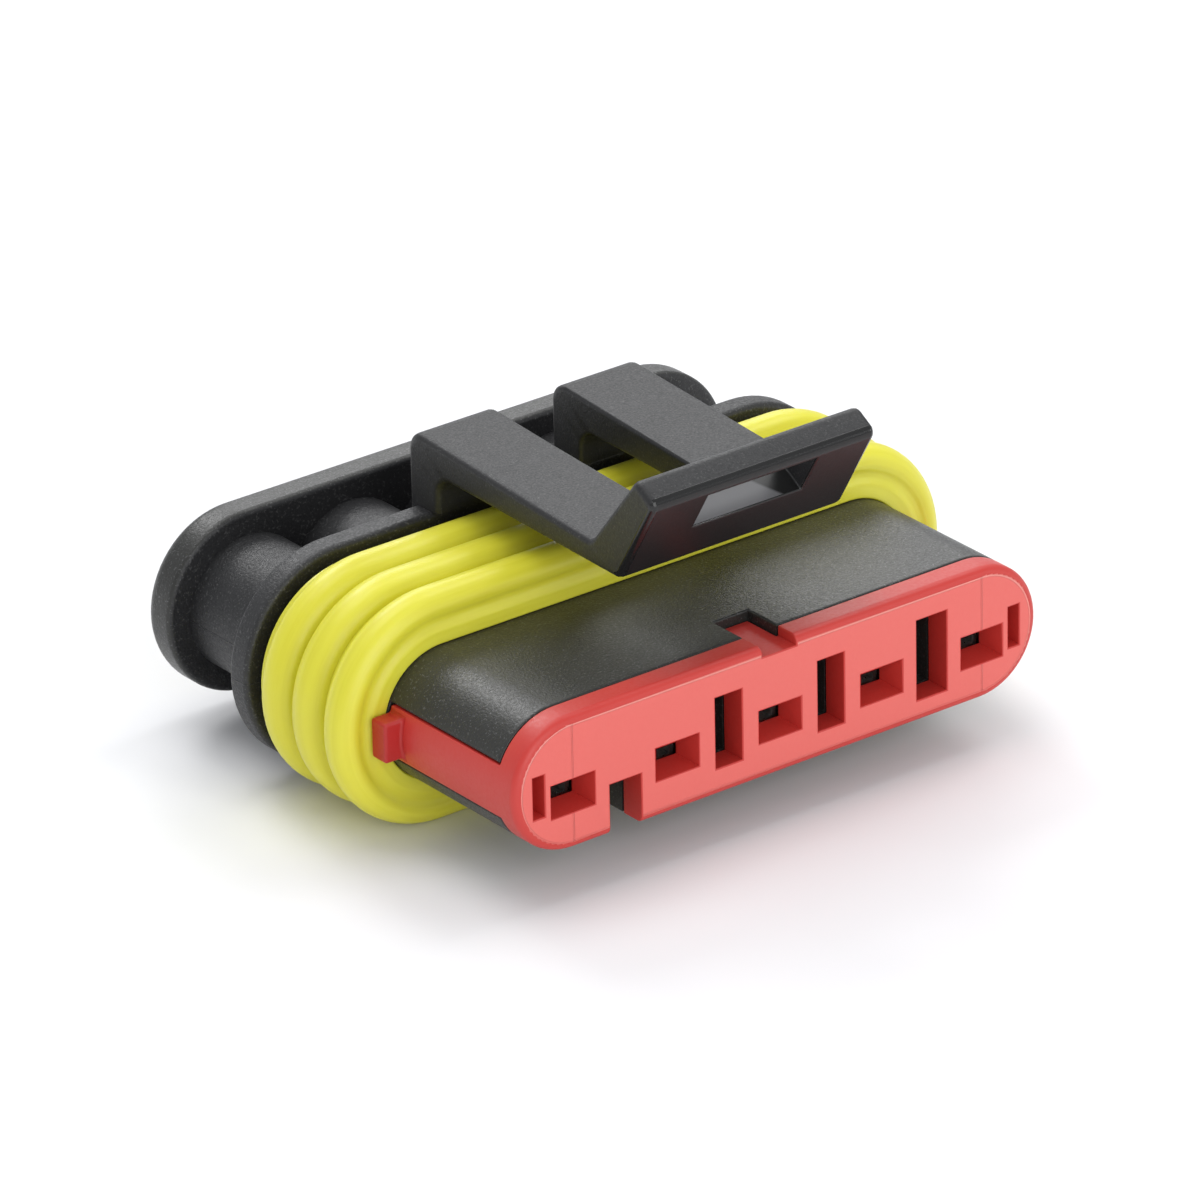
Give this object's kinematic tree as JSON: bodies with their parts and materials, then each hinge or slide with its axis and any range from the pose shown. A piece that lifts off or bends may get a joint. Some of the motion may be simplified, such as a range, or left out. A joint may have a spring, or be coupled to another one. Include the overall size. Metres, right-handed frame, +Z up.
{
  "type": "sealed automotive connector plug",
  "caption": "Sealed plug connector: a black flanged housing with a sprung latch, a ribbed yellow seal around its nose and a red secondary lock over a single row of contact mouths.",
  "frame": {"origin": "centre of the footprint at the lowest point of the interface seal's ribs, which the plug lies on", "axes": "+X along the contact row, -Y out of the mating face, +Y towards the wires, +Z up to the latch"},
  "size_m": [0.0358, 0.027, 0.0184],
  "materials": {
    "housing_nylon": "moulded glass-filled nylon, finely spark-textured, with a glossier nose",
    "latch_nylon": "moulded glass-filled nylon, finely spark-textured, with a glossier front plate",
    "seal_silicone": "satin yellow silicone",
    "lock_nylon": "satin red moulded nylon",
    "contact_tin": "tin plated strip",
    "wire_seal_silicone": "satin yellow silicone"
  },
  "bodies": {
    "housing": {"plug_housing": "housing_nylon", "interface_seal": "seal_silicone", "receptacle_contact_1": "contact_tin", "receptacle_contact_2": "contact_tin", "receptacle_contact_3": "contact_tin", "receptacle_contact_4": "contact_tin", "receptacle_contact_5": "contact_tin", "wire_seal_1": "wire_seal_silicone", "wire_seal_2": "wire_seal_silicone", "wire_seal_3": "wire_seal_silicone", "wire_seal_4": "wire_seal_silicone", "wire_seal_5": "wire_seal_silicone"},
    "latch": {"latch": "latch_nylon"},
    "lock": {"secondary_lock": "lock_nylon"}
  },
  "joints": [
    {"name": "latch_flex", "type": "hinge", "parent": "housing", "child": "latch", "pos_m": [0, 0.006, 0.01142], "axis": [-1, 0, 0], "range_deg": [0, 9], "stiffness_Nm_per_rad": 1.2},
    {"name": "lock_slide", "type": "slide", "parent": "housing", "child": "lock", "axis": [0, -1, 0], "range_m": [0, 0.0015]}
  ]
}
